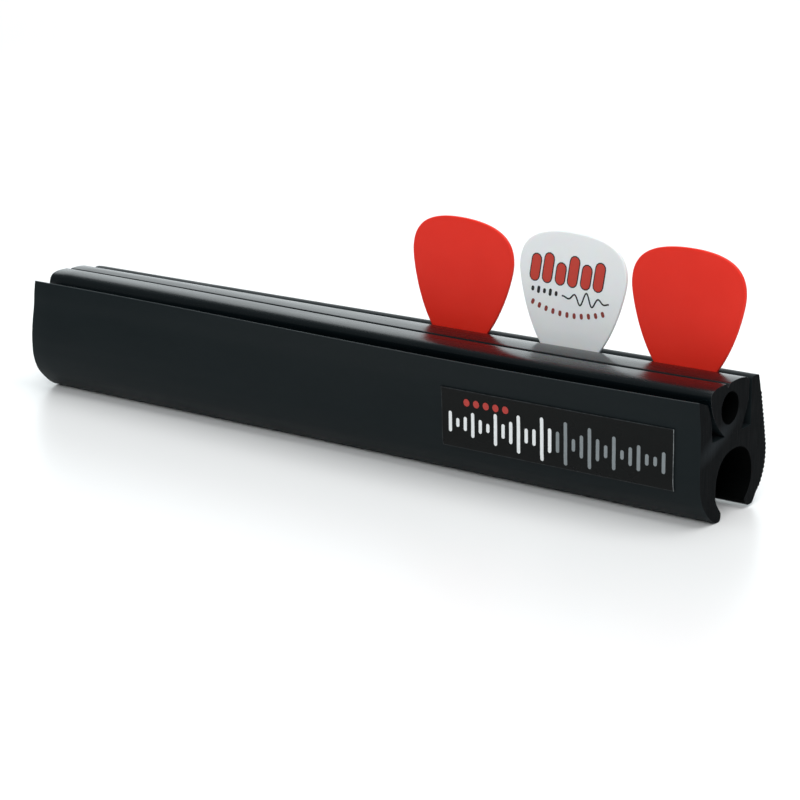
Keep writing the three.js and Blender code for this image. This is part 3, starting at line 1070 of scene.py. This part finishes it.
class ExtrusionSettings(bpy.types.PropertyGroup):
    """Section and colours of the soft extrusion."""

    channel_width: length("Channel width", "Relaxed width of the channel that grips the tube", 14.5)
    channel_offset: length("Channel offset", "Channel's middle, in front of the rear slot", 5.85)
    arch_boxiness: number("Arch boxiness", "Power of the channel's arch", 2.3)
    mouth: length("Mouth", "Opening between the jaws' tips", 8.3)
    front_jaw: length("Front jaw", "Thickness of the front wall beside the channel", 6.1)
    back_jaw: length("Back jaw", "Thickness of the back wall beside the channel", 5.7)
    back_lip: length("Back lip", "Thickness of the back wall at its top", 2.6)
    heel_lift: length("Heel lift", "Gap under the back jaw", 0.3)
    rib_pitch: length("Rib pitch", "Distance between the grip ribs on the back", 0.95)
    rib_height: length("Rib height", "Height of the grip ribs", 0.38)
    rib_top: length("Rib top", "Height where the ribs begin", 23.5)
    rib_bottom: length("Rib bottom", "Height where the ribs end", 2.4)
    bulb_width: length("Bulb width", "Width of the hollow bulb", 14.6)
    bulb_neck_rear: length("Rear neck", "From the bulb's rear face to its neck", 2.7)
    shoulder_reach: length("Shoulder reach", "Depth of the bulb's round front shoulder", 5.3)
    shoulder_drop: length("Shoulder drop", "Height of the bulb's round front shoulder", 2.1)
    shoulder_boxiness: number("Shoulder boxiness", "Power of the shoulder's curve", 3.1)
    bulb_roof: length("Bulb roof", "Material over the bulb's hole", 1.9)
    hole_radius: length("Hole radius", "Radius of the bulb's hole", 3.3)
    groove_width: length("Groove width", "Width of the groove on the bulb", 1.5)
    groove_depth: length("Groove depth", "Depth of the groove on the bulb", 0.75)
    groove_setback: length("Groove setback", "Groove's middle from the bulb's rear face", 8.2)
    plectrum_thickness: length("Plectrum", "Thickness that the rear slot is made for", 0.8)
    slot_clearance: length("Clearance", "Gap on each side of a plectrum", 0.2)
    cut_round: length("Cut round", "Rounding of the edge that the knife left", 0.03)
    cut_skew: length("Cut skew", "How far the left cut runs off square over 20 mm", 2.2)
    bow: length("Bow", "How far the soft front wall sways in and out along its length", 2.15)
    bow_offset: length("Bow offset", "Middle of that sway", 0.65)
    splay: length("Splay", "How far the back leans out at the right end", 0.35)
    twist: length("Twist", "How far the back jaw rides up at the right end", 0.3)
    wall_colour: tint("Wall", "Outside of the walls", "12181a")
    handled_colour: tint("Handled", "Outside of the walls where hands have dulled it", "181e20")


class LabelSettings(bpy.types.PropertyGroup):
    """Printed film on the front face, and its inks."""

    thickness: length("Film", "Thickness of the film", 0.25)
    adhesive: length("Adhesive", "Gap filled by the adhesive", 0.06)
    edge_width: length("Edge", "Width of the bright cut edge", 0.16)
    bar_width: length("Bar width", "Width of each printed bar", 0.8)
    bar_height: length("Bar height", "Height of the tallest printed bar", 9.6)
    bar_margin: length("Bar margin", "From the film's end to the first bar's middle", 2.2)
    bar_drop: length("Bar drop", "How far the bars' middle lies under the film's", 0.9)
    bar_count: IntProperty(name="Bars", description="Number of printed bars", default=28, min=4)
    white_ink: tint("White ink", "Left half of the bars", "e4e7e8")
    grey_ink: tint("Grey ink", "Right half of the bars", "7d8487")
    red_ink: tint("Red ink", "Dots over the bars", "b0322a")


class PlectrumSettings(bpy.types.PropertyGroup):
    """Rounded-triangle plectrum, and its colours."""

    width: length("Width", "Widest place", 26)
    height: length("Height", "Tip to top", 30)
    thickness: length("Thickness", "Thickness of the sheet", 0.8)
    shoulder: length("Shoulder", "Height of the widest place below the top", 8.4)
    tip_radius: length("Tip radius", "Size of the rounded tip", 3.6)
    edge_radius: length("Edge radius", "Rounding left by tumbling", 0.28)
    bow: length("Bow", "How far the edges curl back", 0.06)
    red: tint("Red", "Red sheet", "db2a1c")
    red_bloom: tint("Red bloom", "Paler clouds in the red sheet", "e43224")
    white: tint("White", "White sheet", "e1e4e5")
    white_bloom: tint("White bloom", "Paler clouds in the white sheet", "e9ebec")


class StageSettings(bpy.types.PropertyGroup):
    """Floor, room and camera."""

    floor_size: length("Floor", "Side of the square floor", 6000)
    azimuth: number("Azimuth", "Camera's turn from the front", math.radians(36.73), subtype="ANGLE")
    elevation: number("Elevation", "Camera's rise over the floor", math.radians(15.12), subtype="ANGLE")
    distance: length("Distance", "Camera to target", 501.9)
    lens: number("Lens", "Focal length on a 36 mm sensor", 103.5, unit="CAMERA")
    target: FloatVectorProperty(
        name="Target", description="Point that the camera looks at",
        default=(7.1 * MM, 2 * MM, 10.1 * MM), subtype="TRANSLATION")
    surroundings: number("Surroundings", "Brightness of the room", 0.15)


class PickHolderSettings(bpy.types.PropertyGroup):
    """All sizes and colours of the look model."""

    extrusion: PointerProperty(type=ExtrusionSettings)
    label: PointerProperty(type=LabelSettings)
    plectrum: PointerProperty(type=PlectrumSettings)
    stage: PointerProperty(type=StageSettings)


# ---------------------------------------------------------------- operators


class PICKHOLDER_OT_extrusion(bpy.types.Operator):
    """Builds the soft black extrusion"""

    bl_idname = "pick_holder.extrusion"
    bl_label = "Build extrusion"

    def execute(self, context):
        skin = build_extrusion(context.scene.pick_holder.extrusion)
        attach(skin, "holder")
        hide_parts("holder_extrusion")
        return {"FINISHED"}


class PICKHOLDER_OT_label(bpy.types.Operator):
    """Builds the label's film and print"""

    bl_idname = "pick_holder.label"
    bl_label = "Build label"

    def execute(self, context):
        settings = context.scene.pick_holder
        film, inks = build_label(settings.label, settings.extrusion)
        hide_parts("label")
        for piece in (film, *inks):
            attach(piece, "holder")
        return {"FINISHED"}


class PICKHOLDER_OT_plectrums(bpy.types.Operator):
    """Builds the three plectrums and the white one's print"""

    bl_idname = "pick_holder.plectrums"
    bl_label = "Build plectrums"

    def execute(self, context):
        pick = context.scene.pick_holder.plectrum
        red = celluloid("red_celluloid", pick.red, pick.red_bloom)
        white = celluloid("white_celluloid", pick.white, pick.white_bloom)
        for node, body, lean in PLECTRUMS:
            is_white = "white" in node
            sheet = build_plectrum(node + "_sheet", node, lean, pick, white if is_white else red)
            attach(sheet, body)
            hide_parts(node)
            if is_white:
                for ink in build_pick_print(pick, node, lean):
                    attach(ink, body)
        return {"FINISHED"}


class PICKHOLDER_OT_stage(bpy.types.Operator):
    """Builds the floor, the lights and the camera"""

    bl_idname = "pick_holder.stage"
    bl_label = "Build stage"

    def execute(self, context):
        stage = context.scene.pick_holder.stage
        build_floor(stage)
        build_world(stage)
        build_camera(stage)
        build_lights()
        return {"FINISHED"}


class PICKHOLDER_PT_panel(bpy.types.Panel):
    """Lists the build steps"""

    bl_idname = "PICKHOLDER_PT_panel"
    bl_label = "Pick holder"
    bl_space_type = "VIEW_3D"
    bl_region_type = "UI"
    bl_category = "Pick holder"

    def draw(self, context):
        for operator in OPERATORS:
            self.layout.operator(operator.bl_idname)


OPERATORS = (PICKHOLDER_OT_stage, PICKHOLDER_OT_extrusion, PICKHOLDER_OT_label, PICKHOLDER_OT_plectrums)
CLASSES = (
    ExtrusionSettings,
    LabelSettings,
    PlectrumSettings,
    StageSettings,
    PickHolderSettings,
    *OPERATORS,
    PICKHOLDER_PT_panel,
)


def register():
    """Registers the classes and hangs the settings on the scene."""
    for entry in CLASSES:
        bpy.utils.register_class(entry)
    bpy.types.Scene.pick_holder = PointerProperty(type=PickHolderSettings)


def unregister():
    """Takes the settings and the classes away again."""
    del bpy.types.Scene.pick_holder
    for entry in reversed(CLASSES):
        bpy.utils.unregister_class(entry)


def main():
    register()
    bpy.ops.pick_holder.stage()
    bpy.ops.pick_holder.extrusion()
    bpy.ops.pick_holder.label()
    bpy.ops.pick_holder.plectrums()


if __name__ == "__main__":
    main()
